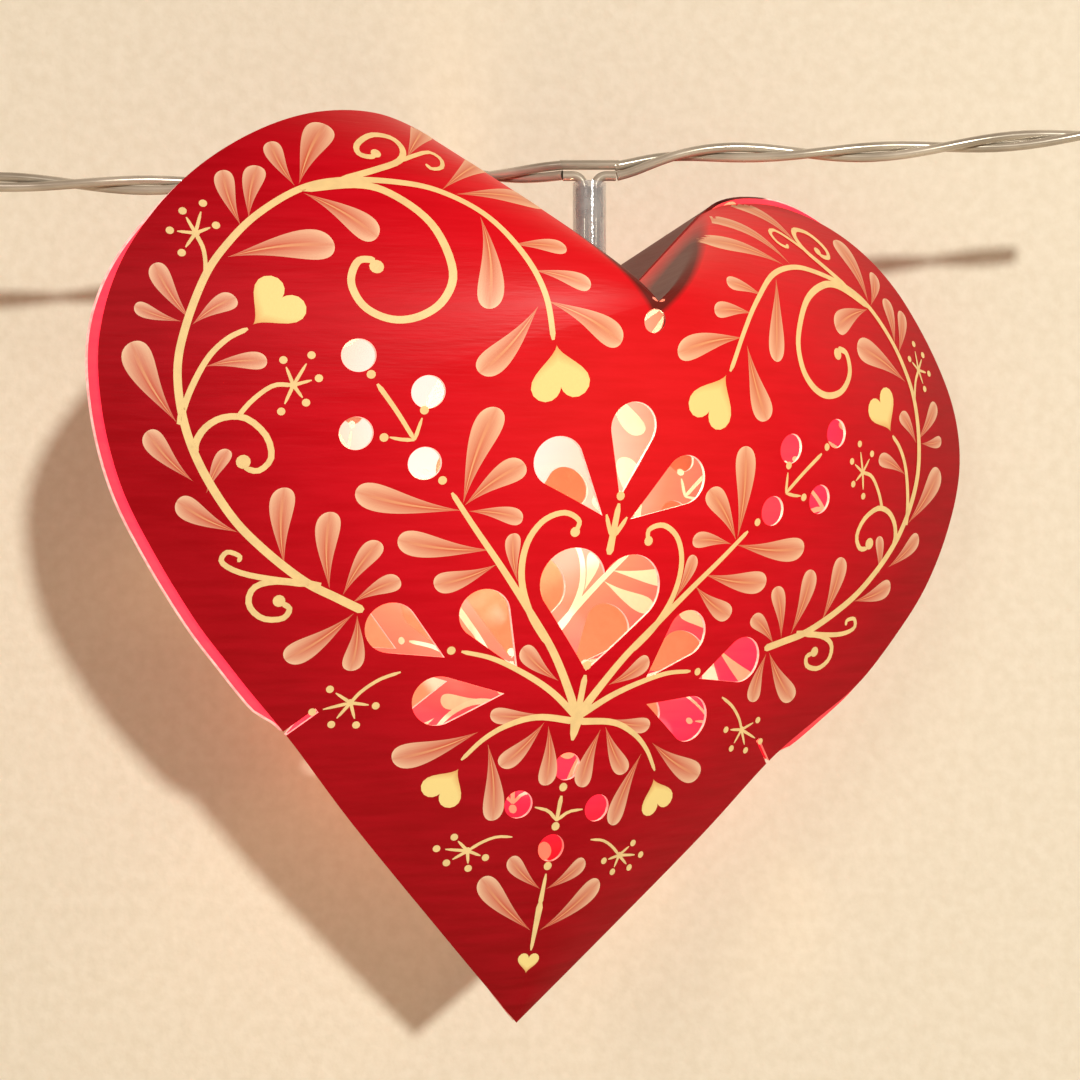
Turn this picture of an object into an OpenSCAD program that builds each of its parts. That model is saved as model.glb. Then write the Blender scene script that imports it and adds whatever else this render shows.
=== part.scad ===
// Heart lantern on one lamp of a light string: two die-cut, bowed plastic sheets locked edge to
// edge round a small LED. X runs along the string, Y away from the viewer, Z up. The origin is
// where the string crosses the lamp's head.

/* [Sheets] */
// Thickness of the plastic sheet
sheet_t = 0.5; // [0.3:0.1:0.8]
// How far the front sheet bows out at the cleft
front_bow = 20; // [14:1:24]
// How far the back sheet bows out at the cleft
back_bow = 24; // [16:1:28]
// Height of the cleft above the tip
cleft_z = 89.7; // [88.5:0.1:91]
// Height of the bottom of the V seam above the tip
seam_z = 87.5; // [86.5:0.1:88]
// How far the back sheet stands out past the front one above the slit locks
lip = 1.2; // [0.6:0.1:2]

/* [Cut-outs] */
// Radius of the berries beside the wreath
berry_r = 1.9; // [1.5:0.1:2.2]
// Radius of the berries under the knot
seed_r = 1.75; // [1.4:0.05:2]
// Radius of the round end of a petal
petal_r = 3; // [2.4:0.1:3.3]
// Radius of the eyelet under the cleft
eyelet_r = 1.4; // [1:0.1:1.6]
// Width of the slit locks
slit_w = 0.6; // [0.4:0.1:1]

/* [Lamp] */
// Outer radius of the clear sleeve
sleeve_r = 2.15; // [2:0.05:2.4]
// Bore radius of the clear sleeve
sleeve_bore = 1.75; // [1.7:0.05:1.85]
// Length of the clear sleeve
sleeve_len = 25; // [22:1:28]
// Radius of the LED's lens
led_r = 1.5; // [1.4:0.05:1.5]
// Radial clearance of the sleeve in the heart's seam hole
swivel_gap = 0.1; // [0.05:0.05:0.3]

/* [String] */
// Radius of one insulated strand
strand_r = 0.62; // [0.5:0.02:0.66]
// Radius of the twisted pair
pair_r = 1.4; // [1.3:0.1:1.6]

/* [Hooks] */
// Radius of the screw hooks' wire
hook_wire_r = 1.4; // [1.2:0.1:1.6]
// How far the string stands off the wall
standoff = 40; // [38:1:50]
// Length of the screw hooks' threaded shank
shank_len = 16; // [10:1:24]
// Radius of the screw hooks' threaded shank
shank_r = 1.6; // [1.4:0.1:1.8]

/* [Hidden] */
$fn = 48;

// The heart hangs turned from the string and rolled, tip to the left.
tip_at = [-9.6, -3.4, -108.6];
heart_turn = 25;
heart_roll = 6.2;

// Right half of the heart's rim, tip to lobe apex, in the heart's own plane (across, up).
rim = [[0, 0], [11, 10.8], [24.5, 24.3], [34, 34.6], [41, 41], [47, 46.5], [52.5, 53.5], [57.2, 61],
    [60.3, 69.5], [61.5, 78], [60, 86], [56, 93.5], [50.2, 100.5], [43.5, 106], [36.5, 109.6],
    [29, 111.2], [22, 110.2], [18.5, 108.3]];
// Where the slit locks cross the rim, counted along it.
lock_at = 3;
// How far the lobe's apex and the seam's bottom stand behind the plane of the rim.
apex_y = 5;
seam_y = -1;
// Height ratio of a line of the sheet, spine to rim.
fan = 1.42;
// Roundness of the sheet's lines: a bow near the tip, straighter lines round the cleft.
bow_low = 0.5;
bow_high = 3.7;
per_step = 2;
across = 7;
seam_rows = 4;
rim_rows = (len(rim) - 1) * per_step;
rows = rim_rows + seam_rows;
rim_gap = 0.6;
seam_gap = 0.15;

function ease(t) = let(c = max(0, min(1, t))) c * c * (3 - 2 * c);
function curve(a, b, c, d, t) = 0.5 * (2 * b + (c - a) * t + (2 * a - 5 * b + 4 * c - d) * t * t
    + (3 * b - a - 3 * c + d) * t * t * t);
// A knot of a line of points, carried on straight past both its ends.
function knot(p, i) = i < 0 ? 2 * p[0] - p[1]
    : i >= len(p) ? 2 * p[len(p) - 1] - p[len(p) - 2]
    : p[i];
// A point of the smooth curve through the points of p; u counts them.
function on_curve(p, u) = let(i = min(floor(u), len(p) - 2))
    curve(knot(p, i - 1), knot(p, i), knot(p, i + 1), knot(p, i + 2), u - i);
last = len(rim) - 1;
function rim_xz(u) = on_curve(rim, u);
// Outward step of the rim, square to it.
function outward(u) = let(d = rim_xz(min(u + 0.05, last)) - rim_xz(max(u - 0.05, 0)))
    [d[1], -d[0]] / norm(d);
// The back sheet's edge is outside above the lock and just inside below it. Both meet at the tip
// and the apex.
function edge_step(u, back) = back
    ? (u < lock_at ? -0.5 * ease(u) : lip * ease((u - lock_at) * 2) * ease((last - u) / 2))
    : 0;
function rim_depth(u) = apex_y * ease((u - 12) / 5);
function spine_z(j) = j > rim_rows ? cleft_z : min(cleft_z, fan * rim_xz(j / per_step)[1]);
function gap_y(back, g) = back ? g : -g;
function bow_out(back) = gap_y(back, (back ? back_bow : front_bow) - rim_gap);
function spine(j, back) = let(z = spine_z(j)) [0, gap_y(back, rim_gap) + bow_out(back) * z / cleft_z, z];
function flat_edge(u, back) = rim_xz(u) + edge_step(u, back) * outward(u);
function rim_edge(u, back) = let(e = flat_edge(u, back)) [e[0], rim_depth(u) + gap_y(back, rim_gap), e[1]];
function foot(back) = [seam_gap, seam_y + gap_y(back, seam_gap), seam_z];
function edge(j, back) = let(s = (j - rim_rows) / seam_rows)
    s <= 0 ? rim_edge(j / per_step, back) : rim_edge(last, back) * (1 - s) + foot(back) * s;
function bow(j) = j > rim_rows ? bow_high * (1 - (j - rim_rows) / seam_rows)
    : bow_low + (bow_high - bow_low) * ease(rim_xz(j / per_step)[1] * fan / cleft_z);
// One point of the sheet's outer face: j counts the lines along the rim, and b runs from 0 at the
// spine to 1 at the rim.
function face(j, b, back) = let(
    a = spine(j, back),
    e = edge(j, back),
    k = bow(j),
    f = b * b * (1 + k) / (1 + k * b))
    [a[0] + (e[0] - a[0]) * b, a[1] * (1 - f) + e[1] * f, a[2] + (e[2] - a[2]) * b];
function unit(v) = v / norm(v);
// Inward normal of the sheet at a point of its right half.
function inward(j, b, back) = let(
    h = 0.04,
    along = face(min(j + 0.5, rows), max(b, 0.08), back) - face(max(j - 0.5, 0.2), max(b, 0.08), back),
    out = face(j, min(b + h, 1), back) - face(j, max(b - h, 0), back),
    n = unit(cross(out, along)))
    back ? n : -n;
function spine_in(back) = unit([0, back ? -cleft_z : cleft_z, back ? back_bow : front_bow]);

// Index of the last row whose spine point is its own; the rows after it all start at the cleft.
spine_rows = len([for (j = [0:rim_rows]) if (fan * rim_xz(j / per_step)[1] < cleft_z) j]);
half = rows * across;
layer = spine_rows + 1 + 2 * half;
function at(j, i, left, inner) = (inner ? layer : 0) + (j == 0 ? 0
    : i == 0 ? min(j, spine_rows)
    : spine_rows + 1 + (left ? half : 0) + (j - 1) * across + i - 1);
function half_points(back, inner, side) = [for (j = [1:rows]) for (i = [1:across]) let(
    b = i / across,
    p = face(j, b, back) + (inner ? sheet_t : 0) * inward(j, b, back))
    [side * p[0], p[1], p[2]]];
function layer_points(back, inner) = concat(
    [for (j = [0:spine_rows]) spine(j, back) + (inner ? sheet_t : 0) * spine_in(back)],
    half_points(back, inner, 1),
    half_points(back, inner, -1));
function turned(f, flip) = flip ? [f[2], f[1], f[0]] : f;
function cell(j, i, left, inner) = let(
    a = at(j, i, left, inner),
    b = at(j, i + 1, left, inner),
    c = at(j + 1, i + 1, left, inner),
    d = at(j + 1, i, left, inner))
    [if (a != b) [a, c, b], if (a != d) [a, d, c]];
function layer_faces(inner) = [for (left = [false, true]) for (j = [0:rows - 1]) for (i = [0:across - 1])
    for (f = cell(j, i, left, inner)) turned(f, inner != left)];
function wall_faces(a, b, flip) = [turned([a, b, b + layer], flip), turned([a, b + layer, a + layer], flip)];
// The sheet's cut edge: along the rim and the seam, then back up the last line to the cleft.
function border(left) = concat([for (j = [0:rows]) at(j, across, left, false)],
    [for (i = [across - 1:-1:0]) at(rows, i, left, false)]);
function edge_faces() = [for (left = [false, true]) let(e = border(left))
    for (k = [0:len(e) - 2]) for (f = wall_faces(e[k], e[k + 1], left)) f];
module sheet(back) {
    faces = concat(layer_faces(false), layer_faces(true), edge_faces());
    points = concat(layer_points(back, false), layer_points(back, true));
    polyhedron(points, [for (f = faces) turned(f, back)]);
}

// Cut-outs, drawn in the heart's plane and pushed through along Y.
module punch(back) {
    rotate([90, 0, 0]) translate([0, 0, back ? -40 : 0.6]) linear_extrude(39.4) children();
}
module both_sides() {
    children();
    mirror([1, 0]) children();
}
// A petal: a round end and a point, joined by straight sides.
module petal(tip, eye, r) {
    d = eye - tip;
    reach = norm(d);
    turn = atan2(d[1], d[0]);
    side = asin(r / reach);
    run = sqrt(reach * reach - r * r);
    touch = run * [cos(side), sin(side)];
    translate(eye) circle(r = r);
    translate(tip) rotate(turn) polygon([[0, 0], touch, [reach, 0], [touch[0], -touch[1]]]);
}
module heart_window() {
    petal([0, 45.3], [3.9, 55.8], 4.2);
    petal([0, 45.3], [-3.9, 55.8], 4.2);
    polygon([[0, 45.6], [4, 55], [0, 57.6], [-4, 55]]);
}
module petals() {
    heart_window();
    petal([0, 66.4], [0, 74.9], petal_r);
    both_sides() {
        petal([1.9, 64.1], [8.6, 69.7], petal_r);
        petal([8.8, 44.8], [13.9, 51], petal_r);
        petal([17.6, 45.4], [24.3, 48.3], petal_r);
        petal([9.8, 41.7], [17.4, 40.1], petal_r);
    }
}
berry_spots = [[33, 79], [24.9, 75.8], [32, 70.2], [23.9, 67.7]];
seed_spots = [[0, 33.3], [5.4, 28.2], [-5.4, 28.2], [0, 22.9]];
module round_punch(back, spot, r) {
    translate([spot[0], back ? 40 : -0.6, spot[1]]) rotate([90, 0, 0]) cylinder(h = 39.4, r = r);
}
module berries(back) {
    for (s = [-1, 1]) for (p = berry_spots) round_punch(back, [s * p[0], p[1]], berry_r);
    for (p = seed_spots) round_punch(back, p, seed_r);
    translate([0, back ? 40 : -17, 87.4]) rotate([90, 0, 0]) cylinder(h = 20, r = eyelet_r);
}
// Slits in from both sheets' edges, square to the rim, where the sheets half into each other.
module slits() {
    p = rim_xz(lock_at);
    for (s = [-1, 1]) translate([s * p[0], 0, p[1]]) rotate([0, s * 45, 0])
        translate([s > 0 ? -4.4 : -1.6, -8, -slit_w / 2]) cube([6, 16, slit_w]);
}
module shell(back) {
    difference() {
        sheet(back);
        punch(back) petals();
        berries(back);
        slits();
        sleeve_hole();
    }
}
module placed() {
    translate(tip_at) rotate([0, 0, heart_turn]) rotate([0, heart_roll, 0]) children();
}
module sleeve_hole() {
    rotate([0, -heart_roll, 0]) rotate([0, 0, -heart_turn]) translate(-tip_at)
        translate([0, 0, -40]) cylinder(h = 40, r = sleeve_r + swivel_gap);
}
module front_shell() {
    color("crimson") placed() shell(false);
}
module back_shell() {
    color("firebrick") placed() shell(true);
}

// Lamp: a clear sleeve over the leads, the LED's lens standing out of its lower end.
sleeve_top = -1.7;
sleeve_end = sleeve_top - sleeve_len;
lead_x = 0.75;
lead_side = 0.45;
wire_end = -11;
lens_base = sleeve_end + 1.6;
lens_len = 3.9;
module lamp_sleeve() {
    color("lightcyan") translate([0, 0, sleeve_end]) difference() {
        cylinder(h = sleeve_len, r = sleeve_r);
        translate([0, 0, -1]) cylinder(h = sleeve_len + 2, r = sleeve_bore);
    }
}
module head_seal() {
    color("gainsboro") difference() {
        translate([0, 0, -6]) cylinder(h = 3.6, r = sleeve_bore);
        for (s = [-1, 1]) translate([s * lead_x, 0, -7]) cylinder(h = 6, r = strand_r);
    }
}
module lens_seat() {
    color("gainsboro") translate([0, 0, lens_base - 1.4]) difference() {
        cylinder(h = 1.4, r = sleeve_bore);
        translate([0, 0, -1]) cylinder(h = 4, r = led_r);
    }
}
module led_lens() {
    color("moccasin") difference() {
        union() {
            translate([0, 0, lens_base - lens_len]) cylinder(h = lens_len, r = led_r);
            translate([0, 0, lens_base - lens_len]) sphere(r = led_r);
        }
        cup_solid(0.02);
        post_solid(0.02);
        chip_solid(0.02);
    }
}
// The cathode's anvil carries the cone-shaped cup, with the lead running up to the solder.
module cup_solid(g) {
    translate([-lead_x - lead_side / 2 - g, -lead_side / 2 - g, lens_base - 2.6 - g])
        cube([lead_side + 2 * g, lead_side + 2 * g, wire_end - 1.2 - lens_base + 2.6 + 2 * g]);
    difference() {
        translate([-0.5, 0, lens_base - 3.2 - g]) cylinder(h = 1 + 2 * g, r = 0.6 + g);
        if (g == 0) translate([-0.5, 0, lens_base - 3.21]) cylinder(h = 0.5, r1 = 0.45, r2 = 0.3);
    }
}
module post_solid(g) {
    translate([lead_x - lead_side / 2 - g, -lead_side / 2 - g, lens_base - 2.9 - g])
        cube([lead_side + 2 * g, lead_side + 2 * g, wire_end - 1.2 - lens_base + 2.9 + 2 * g]);
}
module chip_solid(g) {
    translate([-0.65 - g, -0.15 - g, lens_base - 3.2 - g]) cube([0.3 + 2 * g, 0.3 + 2 * g, 0.49 + g]);
}
module led_cup_lead() {
    color("silver") cup_solid(0);
}
module led_post_lead() {
    color("silver") post_solid(0);
}
module led_chip() {
    color("gold") translate([-0.65, -0.15, lens_base - 2.96]) cube([0.3, 0.3, 0.25]);
}
module solder_joints() {
    color("darkgray") for (s = [-1, 1]) translate([s * lead_x, 0, wire_end - 1.2])
        cylinder(h = 1.2, r1 = 0.35, r2 = 0.5);
}
module lead_insulator() {
    color("white") translate([lead_x, 0, wire_end - 8]) difference() {
        cylinder(h = 6.6, r = 0.6);
        translate([0, 0, -1]) cylinder(h = 9, r = 0.32);
    }
}

// String: one strand runs on over the lamp's head, the other is cut and dips into the sleeve from both sides.
pair_end = 3.8;
strand_z = 0.72;
bend_r = 1.4;
module drop_strand() {
    translate([lead_x, 0, wire_end]) cylinder(h = -strand_z - bend_r - wire_end, r = strand_r);
    translate([lead_x + bend_r, 0, -strand_z - bend_r]) rotate([90, 0, 180])
        rotate_extrude(angle = 90) translate([bend_r, 0]) circle(r = strand_r);
    translate([lead_x + bend_r, 0, -strand_z]) rotate([0, 90, 0])
        cylinder(h = pair_end - 0.4 - lead_x - bend_r, r = strand_r);
}
module drop_strand_right() {
    color("lightgray") drop_strand();
}
module drop_strand_left() {
    color("lightgray") mirror([1, 0, 0]) drop_strand();
}
module through_strand() {
    color("lightgray") translate([-pair_end, 0, strand_z]) rotate([0, 90, 0])
        cylinder(h = 2 * pair_end, r = strand_r);
}
// The twisted pair as a tube of its outer size, swept along the route; loops at both ends hang on the hooks.
left_route = [[-3.8, 0, 0], [-11, 3, 0], [-21, 7.2, 0.8], [-36, 7.4, 0.2], [-58, 3.6, -1.1],
    [-76, 0.8, -1.3], [-90, 0, -1.4]];
right_route = [[3.8, 0, 0], [14, 0, 2.2], [35, 0, 2.3], [63, 0, 4.5], [78, 0, 5.6]];
tube_sides = 8;
function ring(c, r) = [for (k = [0:tube_sides - 1]) let(a = 360 * (k + 0.5) / tube_sides)
    c + [0, r * cos(a), r * sin(a)]];
function reversed(f) = [for (k = [len(f) - 1:-1:0]) f[k]];
module tube(p, r, n) {
    s = tube_sides;
    points = [for (i = [0:n]) for (q = ring(on_curve(p, (len(p) - 1) * i / n), r)) q];
    side = [for (i = [0:n - 1]) for (k = [0:s - 1]) let(a = i * s + k, b = i * s + (k + 1) % s)
        [a, b, b + s, a + s]];
    ends = [[for (k = [s - 1:-1:0]) k], [for (k = [0:s - 1]) n * s + k]];
    faces = concat(side, ends);
    polyhedron(points, p[0][0] < p[1][0] ? [for (f = faces) reversed(f)] : faces);
}
module cord_left() {
    color("lightgray") tube(left_route, pair_r, 24);
}
module cord_right() {
    color("lightgray") tube(right_route, pair_r, 16);
}
// The route ends in a crimped ferrule, out of which a strand loops round the hook.
loop_r = 4.2;
loop_at = 8;
crimp_len = 6;
crimp_r = 2.1;
module loop(s, at) {
    translate(at + [s * loop_at, 0, 0]) rotate([90, 0, 0]) rotate_extrude()
        translate([loop_r, 0]) circle(r = strand_r);
    translate(at) rotate([0, s * 90, 0]) cylinder(h = loop_at - loop_r + 0.3, r = 1.25);
}
module crimp(at) {
    translate(at + [-crimp_len / 2, 0, 0]) rotate([0, 90, 0]) difference() {
        cylinder(h = crimp_len, r = crimp_r);
        translate([0, 0, -1]) cylinder(h = crimp_len + 2, r = 1.3);
    }
}
left_end = [-90, 0, -1.4];
right_end = [78, 0, 5.6];
module loop_left() {
    color("lightgray") loop(-1, left_end);
}
module loop_right() {
    color("lightgray") loop(1, right_end);
}
module crimp_left() {
    color("dimgray") crimp(left_end);
}
module crimp_right() {
    color("dimgray") crimp(right_end);
}
// A screw hook: threaded shank in the wall, a flange against it, a straight neck through the loop
// and a turned-up end.
flange_r = 4.5;
flange_t = 1.6;
neck_front = 3;
hook_bend = 4;
hook_rise = 6;
module hook(s, at) {
    translate(at + [s * (loop_at + loop_r - strand_r - hook_wire_r - 0.02), 0, 0]) {
        rotate([-90, 0, 0]) {
            translate([0, 0, standoff]) cylinder(h = shank_len - 3, r = shank_r);
            translate([0, 0, standoff + shank_len - 3]) cylinder(h = 3, r1 = shank_r, r2 = 0.3);
            translate([0, 0, standoff - flange_t]) cylinder(h = flange_t, r = flange_r);
            translate([0, 0, -neck_front]) cylinder(h = standoff + neck_front - flange_t, r = hook_wire_r);
        }
        translate([0, -neck_front, hook_bend]) rotate([0, 90, 180]) rotate_extrude(angle = 90)
            translate([hook_bend, 0]) circle(r = hook_wire_r);
        translate([0, -neck_front - hook_bend, hook_bend]) cylinder(h = hook_rise, r = hook_wire_r);
        translate([0, -neck_front - hook_bend, hook_bend + hook_rise]) sphere(r = hook_wire_r);
    }
}
module hook_left() {
    color("silver") hook(-1, left_end);
}
module hook_right() {
    color("silver") hook(1, right_end);
}

front_shell();
back_shell();
lamp_sleeve();
head_seal();
lens_seat();
led_lens();
led_cup_lead();
led_post_lead();
led_chip();
solder_joints();
lead_insulator();
drop_strand_left();
drop_strand_right();
through_strand();
cord_left();
cord_right();
loop_left();
loop_right();
crimp_left();
crimp_right();
hook_left();
hook_right();
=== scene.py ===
import math
import bmesh
import bpy
from mathutils import Matrix, Vector
from mathutils.bvhtree import BVHTree


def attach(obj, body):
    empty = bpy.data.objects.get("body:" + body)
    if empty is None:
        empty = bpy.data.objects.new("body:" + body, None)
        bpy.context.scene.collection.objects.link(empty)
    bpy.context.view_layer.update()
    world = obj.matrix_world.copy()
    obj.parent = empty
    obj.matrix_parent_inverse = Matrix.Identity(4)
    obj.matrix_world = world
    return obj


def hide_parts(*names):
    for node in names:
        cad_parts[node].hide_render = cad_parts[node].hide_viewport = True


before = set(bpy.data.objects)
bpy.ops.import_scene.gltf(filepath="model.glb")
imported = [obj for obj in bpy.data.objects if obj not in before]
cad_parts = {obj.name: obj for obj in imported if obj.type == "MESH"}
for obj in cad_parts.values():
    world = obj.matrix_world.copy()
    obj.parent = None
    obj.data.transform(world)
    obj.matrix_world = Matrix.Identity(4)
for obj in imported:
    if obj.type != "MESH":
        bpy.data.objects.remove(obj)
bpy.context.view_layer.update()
MM = 0.001

# The camera stands level in front of the lantern, square to the wall and a little above the middle of
# the shade.
camera = bpy.data.cameras.new("camera")
camera.lens = 53.33
camera.sensor_width = 36
camera.clip_start = 0.01
camera_object = bpy.data.objects.new("camera", camera)
camera_object.location = (-0.00636, -0.2061, -0.0476)
camera_object.rotation_euler = (math.pi / 2, 0, 0)
bpy.context.collection.objects.link(camera_object)
bpy.context.scene.camera = camera_object


# The string is a twisted pair of thin wires in clear insulation, pulled tight between two hooks. Each
# strand winds round the other once in about 35 mm. The pair runs on both sides of the lamp, and each
# outer end is pressed into a ferrule.
STRAND_R = 0.62
STRAND_GAP = 0.03
HEAD_GAP = 0.4
LEFT_PITCH = 36.6
RIGHT_PITCH = 34.9
left_route = [(-3.8, 0, 0), (-11, 3, 0), (-21, 7.2, 0.8), (-36, 7.4, 0.2),
              (-58, 3.6, -1.1), (-76, 0.8, -1.3), (-90, 0, -1.4)]
right_route = [(3.8, 0, 0), (14, 0, 2.2), (35, 0, 2.3), (63, 0, 4.5), (78, 0, 5.6)]


def curve_point(points, t):
    """A point of the smooth curve through these points: t counts them from 0."""
    last = len(points) - 1
    i = min(int(t), last - 1)
    first = points[i - 1] if i > 0 else points[0] * 2 - points[1]
    after = points[i + 2] if i + 2 <= last else points[last] * 2 - points[last - 1]
    a, b, c, d = first, points[i], points[i + 1], after
    t = t - i
    square = (2 * a - 5 * b + 4 * c - d) * t * t
    cube = (3 * b - a - 3 * c + d) * t * t * t
    return 0.5 * (2 * b + (c - a) * t + square + cube)


def curve_points(points, count):
    """The smooth curve through these points as count short runs."""
    points = [Vector(p) for p in points]
    return [curve_point(points, (len(points) - 1) * k / count) for k in range(count + 1)]


def finish_mesh(name, bm, materials, smooth=True, place=None):
    """Writes a bmesh out as an object at the origin. Sizes in the bmesh are millimetres."""
    if place:
        bmesh.ops.transform(bm, matrix=place, verts=bm.verts)
    bmesh.ops.scale(bm, vec=(MM, MM, MM), verts=bm.verts)
    for f in bm.faces:
        f.smooth = smooth
    mesh = bpy.data.meshes.new(name)
    bm.to_mesh(mesh)
    bm.free()
    for m in materials:
        mesh.materials.append(m)
    piece = bpy.data.objects.new(name, mesh)
    bpy.context.collection.objects.link(piece)
    return piece


def wire(bm, line, r, sides=12, turns=0.0, start=0.0, off=0.0):
    """Adds a round wire along a line; with off, the wire winds round the line at that distance."""
    grid = bmesh.ops.create_grid(bm, x_segments=len(line) - 1, y_segments=sides, size=0.5)
    run = [0.0]
    for a, b in zip(line, line[1:]):
        run.append(run[-1] + (b - a).length)
    for v in grid["verts"]:
        i = round((v.co.x + 0.5) * (len(line) - 1))
        angle = 2 * math.pi * (v.co.y + 0.5)
        ahead = (line[min(i + 1, len(line) - 1)] - line[max(i - 1, 0)]).normalized()
        side = ahead.cross(Vector((0, 0, 1))).normalized()
        up = side.cross(ahead)
        twist = start + turns * 2 * math.pi * run[i] / run[-1]
        centre = line[i] + off * (math.cos(twist) * side + math.sin(twist) * up)
        v.co = centre + r * (math.cos(angle) * side + math.sin(angle) * up)
    bmesh.ops.remove_doubles(bm, verts=grid["verts"], dist=0.0005)


def shader(m):
    """The one surface shader of a material."""
    return m.node_tree.nodes["Principled BSDF"]


def node_material(name, base, rough, metallic=0.0, coat=0.0, alpha=1.0, ior=1.46):
    """A material with its shader's plain values; patterns are linked in afterwards."""
    m = bpy.data.materials.new(name)
    m.use_nodes = True
    s = shader(m)
    s.inputs["Base Color"].default_value = (*base, 1)
    s.inputs["Roughness"].default_value = rough
    s.inputs["Metallic"].default_value = metallic
    s.inputs["Coat Weight"].default_value = coat
    s.inputs["Alpha"].default_value = alpha
    s.inputs["IOR"].default_value = ior
    return m


def tree_of(m):
    """The nodes of a material, or a node group itself."""
    return m.node_tree if isinstance(m, bpy.types.Material) else m


def give(m, socket, value):
    """Sets a socket to a value, or links it to another node's output."""
    if isinstance(value, bpy.types.NodeSocket):
        tree_of(m).links.new(value, socket)
    else:
        socket.default_value = value


def add_node(m, kind, settings=None, **inputs):
    """A node with some of its sockets given; underscores in a socket's name stand for spaces."""
    node = tree_of(m).nodes.new(kind)
    for key, value in (settings or {}).items():
        setattr(node, key, value)
    for key, value in inputs.items():
        give(m, node.inputs[key.replace("_", " ")], value)
    return node


def calc(m, operation, *values):
    """The result of a maths node."""
    node = add_node(m, "ShaderNodeMath", {"operation": operation})
    for socket, value in zip(node.inputs, values):
        give(m, socket, value)
    return node.outputs["Value"]


def blend(m, factor, a, b):
    """Colour a, an output, where the factor is 0 and colour b where it is 1."""
    mix = add_node(m, "ShaderNodeMix", {"data_type": "RGBA"}, Factor=factor, A=a, B=(*b, 1))
    return mix.outputs["Result"]


def ramp(m, factor, *stops):
    """Colour that runs through stops of a place from 0 to 1 and a colour."""
    node = add_node(m, "ShaderNodeValToRGB", Fac=factor)
    ends = node.color_ramp.elements
    for end, (at, colour) in ((ends[0], stops[0]), (ends[1], stops[-1])):
        end.position = at
        end.color = (*colour, 1)
    for at, colour in stops[1:-1]:
        node.color_ramp.elements.new(at).color = (*colour, 1)
    return node.outputs["Color"]


def join(m, output, socket):
    """Links a node's output to a socket of the material's shader."""
    m.node_tree.links.new(output, shader(m).inputs[socket])


def new_group(name, vectors, numbers, results):
    """A node group with named inputs, vectors and then numbers, and named results."""
    group = bpy.data.node_groups.new(name, "ShaderNodeTree")
    for socket in vectors:
        group.interface.new_socket(socket, in_out="INPUT", socket_type="NodeSocketVector")
    for socket in numbers:
        group.interface.new_socket(socket, in_out="INPUT", socket_type="NodeSocketFloat")
    for socket in results:
        group.interface.new_socket(socket, in_out="OUTPUT", socket_type="NodeSocketFloat")
    return group, group.nodes.new("NodeGroupInput"), group.nodes.new("NodeGroupOutput")


def mottle_group():
    """Uneven surface, for any finish: a mask of soft cloudy patches and a height of fine specks."""
    group, source, result = new_group("mottle", ["Vector"], ["Patch Size", "Speck Size"],
                                      ["Mask", "Height"])
    for size, detail, out in (("Patch Size", 4, "Mask"), ("Speck Size", 2, "Height")):
        per = calc(group, "DIVIDE", 1, source.outputs[size])
        noise = add_node(group, "ShaderNodeTexNoise", Vector=source.outputs["Vector"], Scale=per,
                         Detail=detail)
        give(group, result.inputs[out], noise.outputs["Fac"])
    return group


mottle = mottle_group()
RELIEF = 0.0001
DRAWN = (0.3, 1, 1)


def uneven(m, low, high, patch, speck, bump, rough=None, stretch=(1, 1, 1)):
    """Gives a material two shades in patches, a little relief and, with rough, an uneven gloss."""
    place = add_node(m, "ShaderNodeTexCoord")
    lie = add_node(m, "ShaderNodeMapping", Vector=place.outputs["Object"], Scale=stretch)
    cloud = add_node(m, "ShaderNodeGroup", {"node_tree": mottle}, Vector=lie.outputs["Vector"],
                     Patch_Size=patch, Speck_Size=speck)
    join(m, ramp(m, cloud.outputs["Mask"], (0.35, low), (0.65, high)), "Base Color")
    relief = add_node(m, "ShaderNodeBump", Height=cloud.outputs["Height"], Strength=bump, Distance=RELIEF)
    join(m, relief.outputs["Normal"], "Normal")
    if rough:
        low, high = rough
        gloss = add_node(m, "ShaderNodeMapRange", Value=cloud.outputs["Mask"], To_Min=low, To_Max=high)
        join(m, gloss.outputs["Result"], "Roughness")


def finish_node(node, material):
    """Puts a material on a carried-over node."""
    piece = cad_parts[node]
    for place in piece.material_slots:
        place.material = material
    if not piece.material_slots:
        piece.data.materials.append(material)


insulation = node_material("clear_insulation", (0.50, 0.45, 0.37), 0.2, metallic=0.35, coat=0.6)
uneven(insulation, (0.30, 0.26, 0.20), (0.58, 0.52, 0.42), 0.004, 0.0006, 0.15, rough=(0.16, 0.32),
       stretch=DRAWN)
for node in ("through_strand", "drop_strand_left", "drop_strand_right", "loop_left", "loop_right"):
    finish_node(node, insulation)


def twisted_pair(name, route, count, pitch):
    """Two strands that start one above the other at the lamp's head, and reach the drop strand's end."""
    line = curve_points(route, count)
    length = sum((b - a).length for a, b in zip(line, line[1:]))
    wound = [line[0] + HEAD_GAP * (line[0] - line[1]).normalized()] + line
    bm = bmesh.new()
    for phase in (math.pi / 2, -math.pi / 2):
        wire(bm, wound, STRAND_R, turns=length / pitch, start=phase, off=STRAND_R + STRAND_GAP)
    pair = finish_mesh(name, bm, [insulation])
    return pair, [p * MM for p in line], length * MM


string_left, path_left, length_left = twisted_pair("string_left", left_route, 72, LEFT_PITCH)
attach(string_left, "string")
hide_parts("cord_left")
string_right, path_right, length_right = twisted_pair("string_right", right_route, 60, RIGHT_PITCH)
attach(string_right, "string")
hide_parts("cord_right")


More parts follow.
